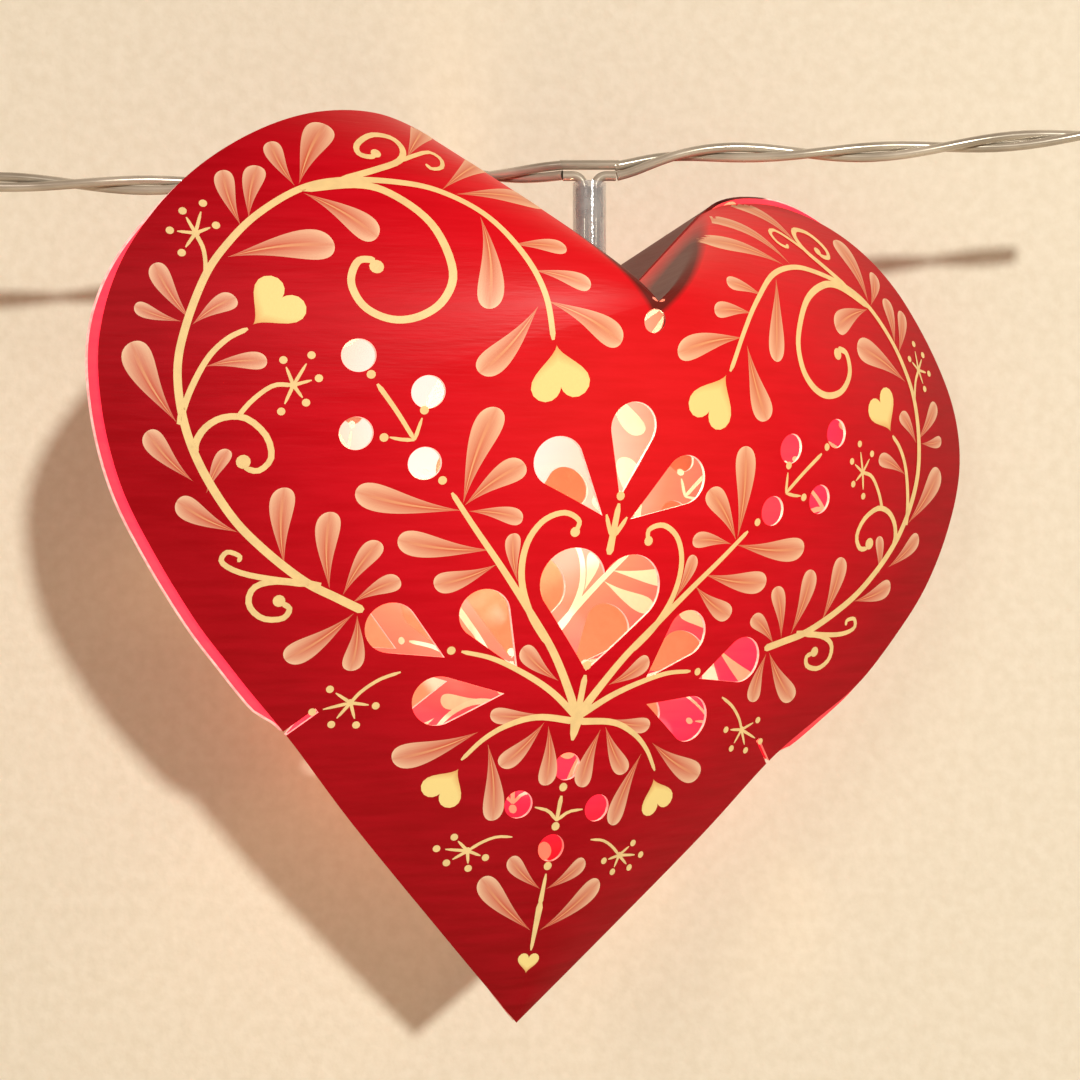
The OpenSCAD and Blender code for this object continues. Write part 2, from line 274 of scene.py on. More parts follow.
# The ferrules are short aluminium tubes. Each is crushed a little onto the pair, where the pair turns
# back into its end loop.
ferrule = node_material("ferrule", (0.70, 0.71, 0.72), 0.35, metallic=1.0)
uneven(ferrule, (0.56, 0.57, 0.58), (0.76, 0.77, 0.78), 0.002, 0.0004, 0.5, rough=(0.28, 0.5),
       stretch=DRAWN)
for node in ("crimp_left", "crimp_right"):
    finish_node(node, ferrule)


# The hooks are bent steel wire with a rolled thread and a pressed flange, zinc plated and bright. The
# right one, its loop and its ferrule cast no shadow, because theirs would fall into the camera's view.
zinc = node_material("zinc", (0.68, 0.69, 0.70), 0.28, metallic=1.0)
uneven(zinc, (0.58, 0.60, 0.63), (0.74, 0.74, 0.72), 0.003, 0.0005, 0.25, rough=(0.2, 0.42))
for node in ("hook_left", "hook_right"):
    finish_node(node, zinc)
for node in ("hook_right", "crimp_right", "loop_right"):
    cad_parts[node].visible_shadow = False


# The lamp's sleeve is a length of clear tube, shiny and a little scuffed, pushed over the lamp's leads.
# A clear sealing compound fills its head, and a ring of the same stuff seats the LED in its lower end.
clear_sleeve = node_material("clear_sleeve", (0.86, 0.87, 0.84), 0.08, coat=0.5, alpha=0.42, ior=1.5)
uneven(clear_sleeve, (0.42, 0.42, 0.42), (0.62, 0.62, 0.60), 0.003, 0.0007, 0.5, rough=(0.05, 0.2))
finish_node("lamp_sleeve", clear_sleeve)
clear_seal = node_material("clear_seal", (0.80, 0.81, 0.78), 0.35, alpha=0.6)
uneven(clear_seal, (0.45, 0.45, 0.44), (0.66, 0.66, 0.63), 0.0015, 0.0004, 0.5, rough=(0.25, 0.5))
for node in ("head_seal", "lens_seat"):
    finish_node(node, clear_seal)


# Inside the sleeve two tinned leads run down to the LED, one in an insulating tube. One lead ends in
# the cup that holds the chip, the other in the post. Each is soldered to its strand, and clear epoxy is
# cast round both ends.
tinned = node_material("tinned_steel", (0.66, 0.67, 0.67), 0.3, metallic=1.0)
uneven(tinned, (0.52, 0.53, 0.54), (0.74, 0.74, 0.73), 0.001, 0.0002, 0.3, rough=(0.22, 0.4))
for node in ("led_cup_lead", "led_post_lead"):
    finish_node(node, tinned)
solder = node_material("solder", (0.58, 0.58, 0.59), 0.4, metallic=1.0)
uneven(solder, (0.46, 0.46, 0.48), (0.68, 0.68, 0.68), 0.0006, 0.0002, 0.6, rough=(0.3, 0.55))
finish_node("solder_joints", solder)
white_tube = node_material("white_tube", (0.86, 0.86, 0.84), 0.6)
uneven(white_tube, (0.76, 0.75, 0.71), (0.88, 0.88, 0.86), 0.0015, 0.0003, 0.2, rough=(0.5, 0.7))
finish_node("lead_insulator", white_tube)
phosphor = node_material("led_phosphor", (1.0, 0.85, 0.45), 0.6)
uneven(phosphor, (0.95, 0.72, 0.25), (1.0, 0.88, 0.5), 0.0001, 0.00005, 0.3)
shader(phosphor).inputs["Emission Color"].default_value = (1.0, 0.86, 0.6, 1)
shader(phosphor).inputs["Emission Strength"].default_value = 12
finish_node("led_chip", phosphor)
led_epoxy = node_material("led_epoxy", (1.0, 0.93, 0.74), 0.06, coat=0.3, alpha=0.6, ior=1.5)
uneven(led_epoxy, (1.0, 0.86, 0.6), (1.0, 0.95, 0.8), 0.0012, 0.0003, 0.1, rough=(0.04, 0.12))
shader(led_epoxy).inputs["Emission Color"].default_value = (1.0, 0.86, 0.62, 1)
shader(led_epoxy).inputs["Emission Strength"].default_value = 4
finish_node("led_lens", led_epoxy)


# The shade is two die-cut sheets of thin satin plastic. Each is bent to a ridge down its middle and
# bows out to the cleft. Its edge runs from the tip round the lobe to the apex, and down the seam of the V.
TIP = Vector((-9.6, -3.4, -108.6))
TURNED = Matrix.Rotation(math.radians(25), 4, "Z")
LEANING = Matrix.Rotation(math.radians(6.2), 4, "Y")
HANG = Matrix.Translation(TIP) @ TURNED @ LEANING
SHEET = 0.5
CLEFT_Z = 89.7
BOW = {"front": -20, "back": 24}
GAP = {"front": -0.6, "back": 0.6}
rim = [Vector(p) for p in (
    (0, 0), (11, 10.8), (24.5, 24.3), (34, 34.6), (41, 41), (47, 46.5), (52.5, 53.5), (57.2, 61),
    (60.3, 69.5), (61.5, 78), (60, 86), (56, 93.5), (50.2, 100.5), (43.5, 106), (36.5, 109.6),
    (29, 111.2), (22, 110.2), (18.5, 108.3))]
APEX = len(rim) - 1
LOCK = 3
# The right lobe's edge stands out from its line and the left one's stays in, and the back sheet's lip
# shows beyond the front one. The ridge is walked faster than the edge rises. A line of the sheet is
# rounded off a little at the tip and strongly at the crown.
LOBE_STEP = {1: 0.8, -1: -1.2}
LIP = 1.2
RIDGE_PACE = 1.42
TIP_ROUND = 0.5
CROWN_ROUND = 3.7
EASING_ROUNDS = 6
SEAM_FOOT_Z = 87.5
VEE_SLOPE = 0.89
VEE_FOOT_Z = 87.2
VEE_SOFT = 0.9
SHARP_TURN = math.radians(28)
BERRY_R = 1.9
SEED_R = 1.75
EYELET_R = 1.4
LAMP_HOLE_R = 2.25
SLIT_SIZE = (6, 16, 0.6)
INNER_FACE, CUT_EDGE = 1, 2


def ease(t):
    """0 below 0 and 1 above 1, with a soft rise between."""
    t = max(0.0, min(1.0, t))
    return t * t * (3 - 2 * t)


def edge_step(u, side, half):
    """How far the edge stands out from its line: the two sheets aren't locked together quite evenly."""
    uneven_lobe = LOBE_STEP[half] * ease((u - LOCK) / 2.5) * ease((12 - u) / 3)
    if side == "front":
        return uneven_lobe
    if u < LOCK:
        return -0.5 * ease(u)
    flank = ease((u - LOCK) * 2) * (ease((6.5 - u) / 3) if half > 0 else ease((11.5 - u) / 2.5))
    crown = ease((u - 13) / 2) * ease((APEX - u) / 1.5) if half > 0 else 0
    return uneven_lobe + LIP * (flank + crown)


def rim_point(u, side, half):
    """A point of the sheet's edge. The back's stands outside above the slit locks, just inside below."""
    p = curve_point(rim, u)
    ahead = curve_point(rim, min(u + 0.05, APEX)) - curve_point(rim, max(u - 0.05, 0))
    p = p + edge_step(u, side, half) * Vector((ahead.y, -ahead.x)).normalized()
    return Vector((p.x, 5 * ease((u - 12) / 5) + GAP[side], p.y))


def sheet_point(u, b, side, half):
    """A point of the outer face: u runs along the edge and down the seam, b from the ridge to the edge."""
    if u <= APEX:
        rise = RIDGE_PACE * curve_point(rim, u).y
        ridge_z = min(CLEFT_Z, rise)
        edge = rim_point(u, side, half)
        round_off = TIP_ROUND + (CROWN_ROUND - TIP_ROUND) * ease(rise / CLEFT_Z)
    else:
        s = u - APEX
        ridge_z = CLEFT_Z
        foot = Vector((0.15, -1 + (0.15 if side == "back" else -0.15), SEAM_FOOT_Z))
        edge = rim_point(APEX, side, half).lerp(foot, s)
        round_off = CROWN_ROUND * (1 - s)
    ridge = Vector((0, GAP[side] + (BOW[side] - GAP[side]) * ridge_z / CLEFT_Z, ridge_z))
    f = b * b * (1 + round_off) / (1 + round_off * b)
    p = ridge.lerp(edge, b)
    p.y = ridge.y + (edge.y - ridge.y) * f
    p.x *= half
    return p


def bent_sheet(side):
    """A grid for each half of the sheet, eased round the V. The two are joined at the ridge."""
    bm = bmesh.new()
    along, across = 126, 44
    for half in (1, -1):
        grid = bmesh.ops.create_grid(bm, x_segments=along, y_segments=across, size=0.5)["verts"]
        crown = []
        for v in grid:
            u = (v.co.x + 0.5) * (APEX + 1)
            b = v.co.y + 0.5
            v.co = sheet_point(u, b, side, half)
            if 0.02 < b < 0.98 and u > APEX - 2.2:
                crown.append(v)
        for _ in range(EASING_ROUNDS):
            bmesh.ops.smooth_vert(bm, verts=crown, factor=0.5,
                                  use_axis_x=True, use_axis_y=True, use_axis_z=True)
    bmesh.ops.remove_doubles(bm, verts=bm.verts, dist=0.01)
    bmesh.ops.recalc_face_normals(bm, faces=bm.faces)
    bm.normal_update()
    spot = Vector((4, BOW[side] / 2, 45))
    belly = min(bm.faces, key=lambda f: (f.calc_center_median() - spot).length)
    if (belly.normal.y < 0) != (side == "front"):
        bmesh.ops.reverse_faces(bm, faces=bm.faces)
    return bm


def petal(bm, tip, eye, r):
    """A die's petal: a round end drawn out to a point."""
    tip, eye = Vector(tip), Vector(eye)
    ring = bmesh.ops.create_circle(bm, cap_ends=True, segments=40, radius=r)["verts"]
    reach = tip - eye
    for v in ring:
        spot = Vector((v.co.x, v.co.y))
        if spot.normalized().dot(reach.normalized()) > r / reach.length:
            spot = reach
        v.co = Vector((eye.x + spot.x, 0, eye.y + spot.y))
    bmesh.ops.remove_doubles(bm, verts=ring, dist=0.02)


def with_edges_and_faces(verts):
    """These vertices and the edges and faces on them."""
    edges = {e for v in verts for e in v.link_edges}
    faces = {f for v in verts for f in v.link_faces}
    return verts + list(edges) + list(faces)


def heart_window(bm):
    """A petal cut down the middle and mirrored."""
    before = set(bm.verts)
    petal(bm, (0, 45.3), (3.9, 55.8), 4.2)
    geom = with_edges_and_faces([v for v in bm.verts if v not in before])
    bmesh.ops.bisect_plane(bm, geom=geom, plane_co=(0, 0, 0), plane_no=(1, 0, 0), clear_inner=True)
    geom = with_edges_and_faces([v for v in bm.verts if v not in before])
    bmesh.ops.mirror(bm, geom=geom, axis="X", merge_dist=0.01)


def dies(side):
    """The cutting dies: petals, berries, the eyelet, the slit locks and the seam's hole for the lamp."""
    bm = bmesh.new()
    heart_window(bm)
    petal(bm, (0, 66.4), (0, 74.9), 3)
    for s in (-1, 1):
        petal(bm, (s * 1.9, 64.1), (s * 8.6, 69.7), 3)
        petal(bm, (s * 8.8, 44.8), (s * 13.9, 51), 3)
        petal(bm, (s * 17.6, 45.4), (s * 24.3, 48.3), 3)
        petal(bm, (s * 9.8, 41.7), (s * 17.4, 40.1), 3)
    berries = [(33, 79), (24.9, 75.8), (32, 70.2), (23.9, 67.7)]
    seeds = [(0, 33.3), (5.4, 28.2), (-5.4, 28.2), (0, 22.9)]
    holes = [(s * x, z, BERRY_R) for s in (-1, 1) for x, z in berries]
    holes += [(x, z, SEED_R) for x, z in seeds]
    holes += [(0, 87.4, EYELET_R)]
    for x, z, r in holes:
        ring = bmesh.ops.create_circle(bm, cap_ends=True, segments=36, radius=r)["verts"]
        bmesh.ops.rotate(bm, cent=(0, 0, 0), matrix=Matrix.Rotation(math.pi / 2, 3, "X"), verts=ring)
        bmesh.ops.translate(bm, vec=(x, 0, z), verts=ring)
    flat = bm.faces[:]
    near, far = (-40, -0.6) if side == "front" else (0.6, 40)
    bmesh.ops.translate(bm, vec=(0, near, 0), verts=bm.verts)
    out = bmesh.ops.extrude_face_region(bm, geom=flat, use_keep_orig=True)
    moved = [g for g in out["geom"] if isinstance(g, bmesh.types.BMVert)]
    bmesh.ops.translate(bm, vec=(0, far - near, 0), verts=moved)
    lock = curve_point(rim, LOCK)
    for s in (-1, 1):
        slit = bmesh.ops.create_cube(bm, size=1)["verts"]
        bmesh.ops.scale(bm, vec=SLIT_SIZE, verts=slit)
        bmesh.ops.translate(bm, vec=(-s * 1.4, 0, 0), verts=slit)
        bmesh.ops.rotate(bm, cent=(0, 0, 0), matrix=Matrix.Rotation(s * math.pi / 4, 3, "Y"), verts=slit)
        bmesh.ops.translate(bm, vec=(s * lock.x, 0, lock.y), verts=slit)
    hole = bmesh.ops.create_cone(bm, cap_ends=True, segments=48, radius1=LAMP_HOLE_R, radius2=LAMP_HOLE_R,
                                 depth=40)["verts"]
    bmesh.ops.translate(bm, vec=(0, 0, -20), verts=hole)
    bmesh.ops.transform(bm, matrix=HANG.inverted(), verts=hole)
    bmesh.ops.recalc_face_normals(bm, faces=bm.faces)
    for f in bm.faces:
        f.material_index = CUT_EDGE
    return bm


def cut_sheet(name, side, materials):
    """Thickens the bent sheet inwards and presses the dies through it."""
    bm = bent_sheet(side)
    skin = BVHTree.FromBMesh(bm)
    piece = finish_mesh(name, bm, materials)
    thick = piece.modifiers.new("thick", "SOLIDIFY")
    thick.thickness = SHEET * MM
    thick.offset = -1
    thick.use_even_offset = True
    thick.thickness_clamp = 0.5
    thick.use_rim = True
    thick.material_offset = INNER_FACE
    thick.material_offset_rim = CUT_EDGE
    tool = finish_mesh(f"die_{side}", dies(side), materials, smooth=False)
    cut = piece.modifiers.new("die", "BOOLEAN")
    cut.operation = "DIFFERENCE"
    cut.solver = "EXACT"
    cut.object = tool
    cut.material_mode = "INDEX"
    bpy.context.view_layer.update()
    done = piece.evaluated_get(bpy.context.evaluated_depsgraph_get())
    cut_mesh = bpy.data.meshes.new_from_object(done)
    piece.modifiers.clear()
    piece.data = cut_mesh
    bpy.data.objects.remove(tool)
    bm = bmesh.new()
    bm.from_mesh(cut_mesh)
    for e in bm.edges:
        e.smooth = e.calc_face_angle(0) < SHARP_TURN
    bmesh.ops.scale(bm, vec=(1 / MM, 1 / MM, 1 / MM), verts=bm.verts)
    bmesh.ops.transform(bm, matrix=HANG, verts=bm.verts)
    bmesh.ops.scale(bm, vec=(MM, MM, MM), verts=bm.verts)
    bm.to_mesh(cut_mesh)
    bm.free()
    return piece, skin


def away_group():
    """How far a point lies from a centre, from 0 there to 1 at the reach."""
    group, source, result = new_group("away", ["Vector", "Centre"], ["Reach"], ["Away"])
    apart = add_node(group, "ShaderNodeVectorMath", {"operation": "DISTANCE"})
    give(group, apart.inputs[0], source.outputs["Vector"])
    give(group, apart.inputs[1], source.outputs["Centre"])
    span = add_node(group, "ShaderNodeMapRange", Value=apart.outputs["Value"],
                    From_Max=source.outputs["Reach"])
    give(group, result.inputs["Away"], span.outputs["Result"])
    return group


def vee_group():
    """1 on the walls of the V and for a reach round them, where the flaps lie double and shade is painted."""
    group, source, result = new_group("vee", ["Vector"], ["Reach"], ["Mask"])
    part = add_node(group, "ShaderNodeSeparateXYZ", Vector=source.outputs["Vector"])
    height = calc(group, "ADD", part.outputs["Z"], source.outputs["Reach"])
    half_width = calc(group, "MULTIPLY_ADD", height, VEE_SLOPE, -VEE_SLOPE * VEE_FOOT_Z * MM)
    inside = calc(group, "SUBTRACT", half_width, calc(group, "ABSOLUTE", part.outputs["X"]))
    mask = add_node(group, "ShaderNodeMapRange", Value=inside, From_Max=VEE_SOFT * MM)
    give(group, result.inputs["Mask"], mask.outputs["Result"])
    return group


away_from = away_group()
vee = vee_group()


def glow(m, centre, shades, strength, dark=None):
    """Painted glow for the lamp's light in the sheet: shades gives its colour at so many mm from the centre.
    """
    place = add_node(m, "ShaderNodeTexCoord")
    reach = shades[-1][0]
    away = add_node(m, "ShaderNodeGroup", {"node_tree": away_from}, Vector=place.outputs["Object"],
                    Centre=[c * MM for c in centre], Reach=reach * MM)
    light = ramp(m, away.outputs["Away"], *((d / reach, colour) for d, colour in shades))
    if dark:
        light = blend(m, dark, light, (0, 0, 0))
    join(m, light, "Emission Color")
    shader(m).inputs["Emission Strength"].default_value = strength


def vee_mask(m, reach):
    """The V's mask, laid on the bent sheet as it lay flat: across the heart in X and up it in Z."""
    place = add_node(m, "ShaderNodeTexCoord")
    back = HANG.inverted()
    lie = add_node(m, "ShaderNodeMapping", Vector=place.outputs["Object"], Location=back.translation * MM,
                   Rotation=back.to_euler("XYZ"))
    mask = add_node(m, "ShaderNodeGroup", {"node_tree": vee}, Vector=lie.outputs["Vector"], Reach=reach * MM)
    return mask.outputs["Mask"]


def darken(m, mask, colour):
    """Turns the base colour into another where the mask is 1."""
    base = shader(m).inputs["Base Color"].links[0].from_socket
    join(m, blend(m, mask, base, colour), "Base Color")


# The lamp's light through the sheet is painted on as a glow: round LAMP_AT on the outer faces, and round
# GLOW_AT, to the left of it, on the inner faces and edges. The grain is drawn out sideways. Shade is
# painted in the V, where the flaps lie double, and on the back sheet it reaches a little way down from the V.
LAMP_AT = (0, 0, -25)
GLOW_AT = (-12, 5, -28)
GRAIN = (0.12, 0.12, 1)
VEE_PAINTED_SHADE = (0.15, 0.016, 0.012)
BACK_REACH = 7


def outer_red(name, reach):
    """The satin outer face, with a painted glow of the lamp through it, and painted shade in the V and for
    reach mm round it.
    """
    m = node_material(name, (0.25, 0.001, 0.003), 0.38)
    uneven(m, (0.22, 0.0, 0.002), (0.28, 0.001, 0.005), 0.0011, 0.00045, 0.3, rough=(0.32, 0.44),
           stretch=GRAIN)
    shader(m).inputs["Specular IOR Level"].default_value = 0.13
    glow(m, LAMP_AT, ((16, (0.60, 0.012, 0.010)), (27, (0.50, 0.003, 0.006)), (40, (0.34, 0.0, 0.004)),
                      (56, (0.12, 0.0, 0.002)), (84, (0.0, 0.0, 0.0))), 1.0, dark=vee_mask(m, reach))
    # Painted shade on the V's walls, where the flaps lie double.
    darken(m, vee_mask(m, reach), VEE_PAINTED_SHADE)
    return m


red_outer = outer_red("red_sheet_outer", 0)
red_outer_back = outer_red("red_sheet_outer_back", BACK_REACH)
# The inner faces and cut edges get the brighter painted glow, centred on GLOW_AT.
red_inner = node_material("red_sheet_inner", (0.5, 0.02, 0.02), 0.5)
uneven(red_inner, (0.42, 0.012, 0.014), (0.55, 0.03, 0.025), 0.0011, 0.00045, 0.1, stretch=GRAIN)
glow(red_inner, GLOW_AT, ((16, (1.0, 0.90, 0.78)), (24, (1.0, 0.66, 0.46)), (32, (1.0, 0.28, 0.14)),
                          (43, (1.0, 0.06, 0.08)), (52, (1.0, 0.03, 0.09)), (61, (0.35, 0.005, 0.02)),
                          (70, (0.1, 0.0, 0.005))), 1.0)
red_edge = node_material("red_sheet_edge", (0.95, 0.5, 0.45), 0.5)
uneven(red_edge, (0.85, 0.3, 0.28), (1.0, 0.7, 0.65), 0.0009, 0.0003, 0.3)
glow(red_edge, GLOW_AT, ((20, (1.0, 0.75, 0.6)), (45, (1.0, 0.5, 0.42)), (53, (0.9, 0.42, 0.4)),
                         (61, (0.15, 0.02, 0.02))), 0.6, dark=vee_mask(red_edge, BACK_REACH))
# The cut edges get the same painted shade in the V.
darken(red_edge, vee_mask(red_edge, BACK_REACH), VEE_PAINTED_SHADE)
front_sheet, front_skin = cut_sheet("front_sheet", "front", [red_outer, red_inner, red_edge])
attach(front_sheet, "shade")
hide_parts("front_shell")
back_sheet, back_skin = cut_sheet("back_sheet", "back", [red_outer_back, red_inner, red_edge])
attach(back_sheet, "shade")
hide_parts("back_shell")


# The print is a folk leaf scroll in cream ink. It is laid on the flat sheet before it is cut, so it
# follows the bends. Each stroke is drawn in the plane of the sheet and pressed onto its face, and stands
# out by a few hundredths of a mm. It is on both sheets, and shows through on their inner faces too.
stems = (
    (1.25, 0.8, ((-27.8, 50), (-31, 51.2), (-35, 52.8), (-40, 56), (-44, 59.4), (-48, 64.5),
                 (-50.5, 69.5), (-51.8, 75), (-51.5, 80), (-50, 86), (-48, 90), (-45, 94), (-40.5, 97.8),
                 (-36, 99.6), (-30, 100.3), (-25, 99.9), (-20, 97.5), (-16, 93), (-13.5, 88.5),
                 (-12, 83.4))),
    (1.2, 1.0, ((-40.5, 97.8), (-34, 99.3), (-30, 98.4), (-26, 95.2), (-23.8, 90), (-24.6, 86.4),
                (-27, 84.2), (-30, 83.5), (-33, 84.6), (-34.6, 87.2), (-34, 89.8), (-32.2, 90.2))),
    (1.0, 0.8, ((-36.5, 99.4), (-32, 101.6), (-29, 103.4), (-28.2, 105.4), (-29.2, 106.9),
                (-31.6, 106.8), (-33.6, 105), (-33.6, 103.6), (-32.2, 103.4), (-31.6, 104.2))),
    (0.7, 0.6, ((-29.2, 103.2), (-27, 104.6), (-24.8, 105.7), (-23.6, 104.9), (-23.9, 103.5),
                (-25.2, 103), (-25.8, 103.6))),
    (0.9, 0.7, ((-51, 69), (-50.2, 73), (-48.8, 76.8), (-47, 79.2), (-45, 80.6))),
    (1.0, 0.8, ((-48.8, 65.8), (-48.9, 67.2), (-48.1, 69), (-46.4, 70.3), (-44, 70.5), (-41.6, 68.8),
                (-40.7, 66.4), (-41.8, 64.8), (-43.4, 64.9))),
    (0.7, 0.6, ((-45, 70.4), (-43.6, 72.6), (-41.6, 74.5), (-39.5, 74.8))),
    (0.9, 0.6, ((-33, 52.6), (-38, 52.6), (-42, 53), (-44.2, 54), (-43.8, 55.2), (-42.4, 54.9),
                (-42.4, 54.2))),
    (0.9, 0.8, ((-34, 52.4), (-38, 52.4), (-40.3, 51.4), (-40.5, 49.4), (-38.8, 48), (-36.6, 48.2),
                (-36, 49.4), (-37, 50))),
    (0.7, 0.6, ((-30.6, 76), (-28, 73.2), (-25.5, 70.2))),
    (0.6, 0.4, ((-25.5, 70.2), (-25.3, 71.5), (-25.1, 72.8))),
    (0.6, 0.4, ((-25.5, 70.2), (-27, 70.1), (-28.3, 70.2))),
    (1.4, 0.7, ((0, 39.5), (-2, 43), (-5, 47.5), (-9, 52.2), (-13, 56.7), (-17, 61), (-20.3, 64.7))),
    (1.1, 0.7, ((-5.5, 48), (-8.5, 51.5), (-10.4, 55.6), (-10.6, 59.6), (-9.2, 62.6), (-6.8, 63.9),
                (-4.8, 63.2), (-4.9, 61.8))),
    (1.1, 0.6, ((0, 39.5), (-4, 42.4), (-8, 44.4), (-12, 45.8), (-15.8, 46.3))),
    (1.1, 0.6, ((0, 39), (-5, 39.2), (-8.5, 38), (-11.2, 36), (-13.4, 33.2))),
    (0.5, 0.5, ((-27.3, 39), (-26.3, 40.5), (-24.5, 42.1), (-22.3, 43.2))),
    (0.5, 0.4, ((-10.5, 22), (-9, 23.2), (-7.3, 24), (-5.4, 24.1))),
    (0.6, 0.5, ((-51.3, 91), (-50.3, 89), (-50, 86), (-50.8, 82.6))),
    (0.6, 0.4, ((0, 26.4), (-1.4, 27.6), (-3.3, 28))),
)
middle_stems = (
    (1.3, 0.9, ((0, 59.6), (0, 62), (0, 65.8))),
    (0.8, 0.6, ((0, 61.6), (-0.8, 63), (-1.4, 64.3))),
    (0.8, 0.6, ((0, 61.6), (0.8, 63), (1.4, 64.3))),
    (1.1, 1.0, ((0, 39), (0, 42), (0, 44.8))),
    (2.6, 0.9, ((0, 40), (0, 38.6), (0, 36.6))),
    (0.8, 0.6, ((0, 29.6), (0, 28), (0, 26.4))),
    (0.5, 1.2, ((0, 9.6), (0, 12.5), (0, 16))),
    (0.9, 0.5, ((0, 15.5), (0, 17.4), (0, 19.6))),
)
leaves = (
    ((-40.5, 98.5), (-37, 107.3), 1.8), ((-41, 98.2), (-43.6, 103.6), 1.2),
    ((-45.8, 93.6), (-45, 100.2), 1.3), ((-46.6, 92.5), (-48.8, 99.1), 1.2),
    ((-47.8, 88.6), (-36.6, 91.5), 2.0), ((-40, 97.4), (-32, 93), 1.7), ((-28, 104), (-22.5, 111.2), 1.5),
    ((-24.5, 100.2), (-16, 107.2), 1.4), ((-23, 99.8), (-11.5, 101.2), 1.5),
    ((-20.6, 97.2), (-19.6, 86), 1.6), ((-17.4, 94), (-11, 94.5), 1.0), ((-15, 91.2), (-8.4, 90.2), 1.1),
    ((-13.4, 87.8), (-3.8, 84.3), 1.6), ((-14.2, 87), (-19.6, 78.6), 1.7),
    ((-51, 80.8), (-55.4, 86.9), 1.2), ((-52, 80.6), (-57, 81.8), 0.9), ((-50.8, 80.4), (-46.6, 84), 1.2),
    ((-51.2, 69.2), (-57, 77.6), 1.8), ((-48.6, 62.8), (-54.2, 67.8), 1.3),
    ((-43, 57.6), (-50, 60.4), 1.4), ((-47, 61.6), (-45.4, 66.8), 0.9),
    ((-37.4, 54.4), (-38.8, 63.2), 1.5), ((-32, 52.2), (-33.4, 61), 1.5),
    ((-30.4, 51.6), (-27.4, 58.2), 1.3), ((-29.2, 50.8), (-24.3, 54), 1.2),
    ((-28.8, 49.6), (-35.5, 43.4), 1.5), ((-28.4, 49.4), (-28, 42.8), 1.3),
    ((-49, 75.8), (-42.6, 77.2), 1.1), ((-18.8, 63.6), (-17, 75), 1.8), ((-18.6, 63.4), (-12.6, 69), 1.6),
    ((-18, 62.8), (-11.6, 62.6), 1.1), ((-18.8, 62.8), (-31, 63.6), 1.7),
    ((-14.6, 58.6), (-25.4, 58.6), 1.6), ((-13.6, 57), (-20.4, 53.8), 1.4),
    ((-10.8, 55.2), (-12.4, 60.8), 1.0), ((-3.4, 43.8), (-8.7, 47.4), 1.2),
    ((-12, 36.8), (-21.4, 32.6), 1.7), ((-4, 39.6), (-11, 39), 1.1), ((-4.2, 38.6), (-8.6, 32.8), 1.3),
    ((-3.6, 38.2), (-2.4, 30.8), 1.3), ((-10.6, 35.4), (-8.2, 26), 1.4), ((-0.6, 12.2), (-8.2, 18.6), 1.5),
    ((-0.4, 17.6), (-5.2, 21.4), 1.1),
)
dots = ((-31.4, 77), (-25, 73.7), (-28.9, 70.1), (-21.6, 66), (-17, 46.3))
blobs = ((-32, 89.4, 0.8), (-43.6, 65.6, 0.8), (-37.3, 50.2, 0.7), (-5, 61.8, 0.6), (-31.6, 104, 0.6))
middle_dots = ((0, 66.7), (0, 46), (0, 30.7), (0, 25.7), (0, 20.6))
stars = (
    ((-51.3, 91), ((-50.7, 94.7), (-49.2, 92.2), (-52.8, 93.5), (-54, 91), (-52.6, 88.5))),
    ((-39.5, 74.8), ((-38, 78.4), (-40.9, 77.5), (-36.9, 75.9), (-37.9, 73), (-40.4, 71.7))),
    ((-27.3, 39), ((-29.9, 40.4), (-24.4, 38.9), (-31.4, 37.5), (-29, 36.2), (-26.2, 36.4))),
    ((-10.5, 22), ((-12.4, 23.6), (-14.2, 22), (-12.7, 20.3), (-10, 19.8), (-8.2, 21.3))),
)
hearts = (
    ((-11.5, 82.9), (-9.8, 77.4), 7.0),
    ((-44.5, 81.1), (-41.4, 85), 6.4),
    ((-13.5, 32.1), (-15.3, 28.5), 5.2),
)
middle_hearts = (((0.1, 6.6), (0.1, 8.6), 2.9),)
STEM_BRUSH = 0.8
STROKE_END = 0.5
DOT_R = 0.5
MIDDLE_DOT_R = 0.55
STAR_DOT_R = 0.45
LEAF_INK, STEM_INK, HEART_INK = 0, 1, 2


